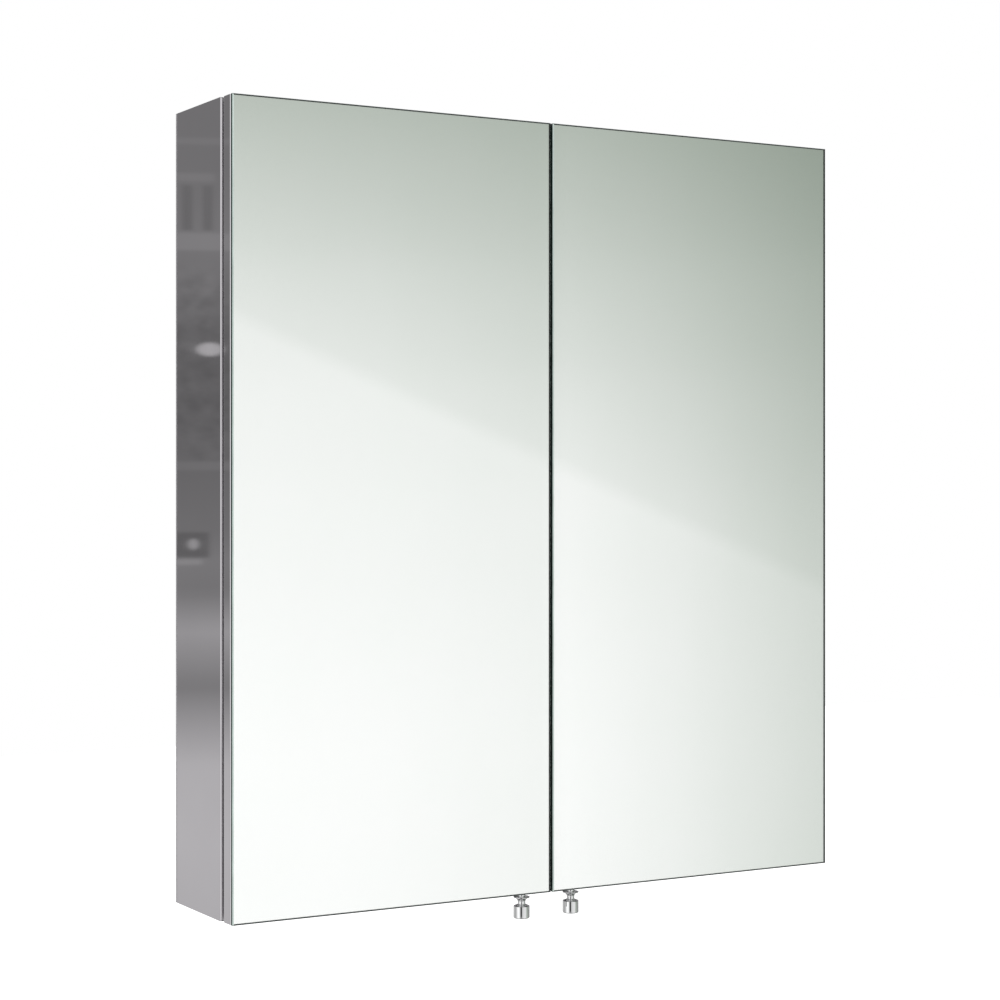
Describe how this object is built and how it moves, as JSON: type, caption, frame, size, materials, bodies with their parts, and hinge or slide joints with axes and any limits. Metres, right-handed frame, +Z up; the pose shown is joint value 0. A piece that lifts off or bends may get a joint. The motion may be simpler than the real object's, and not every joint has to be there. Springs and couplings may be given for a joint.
{
  "type": "medicine cabinet",
  "caption": "Wall-hung stainless mirror cabinet: folded steel body with shelves behind a pair of mirrored doors on concealed hinges, opened by small hanging knobs.",
  "frame": {"origin": "on the wall plane, at the middle of the cabinet body's width and height, which is the centre of the four wall screw holes", "axes": "+X to the viewer's right, +Y into the wall, +Z up; the doors face -Y"},
  "size_m": [0.6, 0.122, 0.691],
  "materials": {
    "polished_steel": "polished, slightly hazy",
    "satin_steel": "satin",
    "mirror_glass": "silvered float glass with ground edges",
    "foam_tape": "matt",
    "chrome_knob": "polished",
    "white_plastic": "moulded",
    "ferrite": "matt",
    "clear_rubber": "soft, translucent",
    "nickel_steel": "nickel-plated",
    "zinc_steel": "zinc-plated"
  },
  "bodies": {
    "cabinet": {"left_side_panel": "polished_steel", "right_side_panel": "polished_steel", "top_panel": "polished_steel", "bottom_panel": "polished_steel", "back_panel": "satin_steel", "left_liner": "satin_steel", "right_liner": "satin_steel", "top_liner": "satin_steel", "bottom_liner": "satin_steel", "upper_wall_rail": "zinc_steel", "lower_wall_rail": "zinc_steel", "back_rivets": "zinc_steel", "upper_shelf": "satin_steel", "lower_shelf": "satin_steel", "shelf_pins": "nickel_steel", "catch_housing": "white_plastic", "catch_magnets": "ferrite", "catch_pole_plates": "zinc_steel", "catch_screws": "zinc_steel", "left_hinge_plates": "nickel_steel", "right_hinge_plates": "nickel_steel", "left_upper_hinge_arm": "nickel_steel", "left_lower_hinge_arm": "nickel_steel", "right_upper_hinge_arm": "nickel_steel", "right_lower_hinge_arm": "nickel_steel", "left_plate_screws": "zinc_steel", "right_plate_screws": "zinc_steel", "left_arm_screws": "zinc_steel", "right_arm_screws": "zinc_steel"},
    "left_door": {"left_door_tray": "polished_steel", "left_mirror": "mirror_glass", "left_mirror_tape": "foam_tape", "left_door_stiffener": "zinc_steel", "left_upper_hinge_cup": "nickel_steel", "left_lower_hinge_cup": "nickel_steel", "left_hinge_pins": "nickel_steel", "left_cup_screws": "zinc_steel", "left_backing_plates": "zinc_steel", "left_strike_plate": "zinc_steel", "left_bumpers": "clear_rubber", "left_knob": "chrome_knob", "left_knob_screw": "zinc_steel"},
    "right_door": {"right_door_tray": "polished_steel", "right_mirror": "mirror_glass", "right_mirror_tape": "foam_tape", "right_door_stiffener": "zinc_steel", "right_upper_hinge_cup": "nickel_steel", "right_lower_hinge_cup": "nickel_steel", "right_hinge_pins": "nickel_steel", "right_cup_screws": "zinc_steel", "right_backing_plates": "zinc_steel", "right_strike_plate": "zinc_steel", "right_bumpers": "clear_rubber", "right_knob": "chrome_knob", "right_knob_screw": "zinc_steel"}
  },
  "joints": [
    {"name": "left_door_hinge", "type": "hinge", "parent": "cabinet", "child": "left_door", "pos_m": [-0.2925, -0.1117, 0], "axis": [0, 0, -1], "range_deg": [0, 100]},
    {"name": "right_door_hinge", "type": "hinge", "parent": "cabinet", "child": "right_door", "pos_m": [0.2925, -0.1117, 0], "axis": [0, 0, 1], "range_deg": [0, 100]}
  ]
}
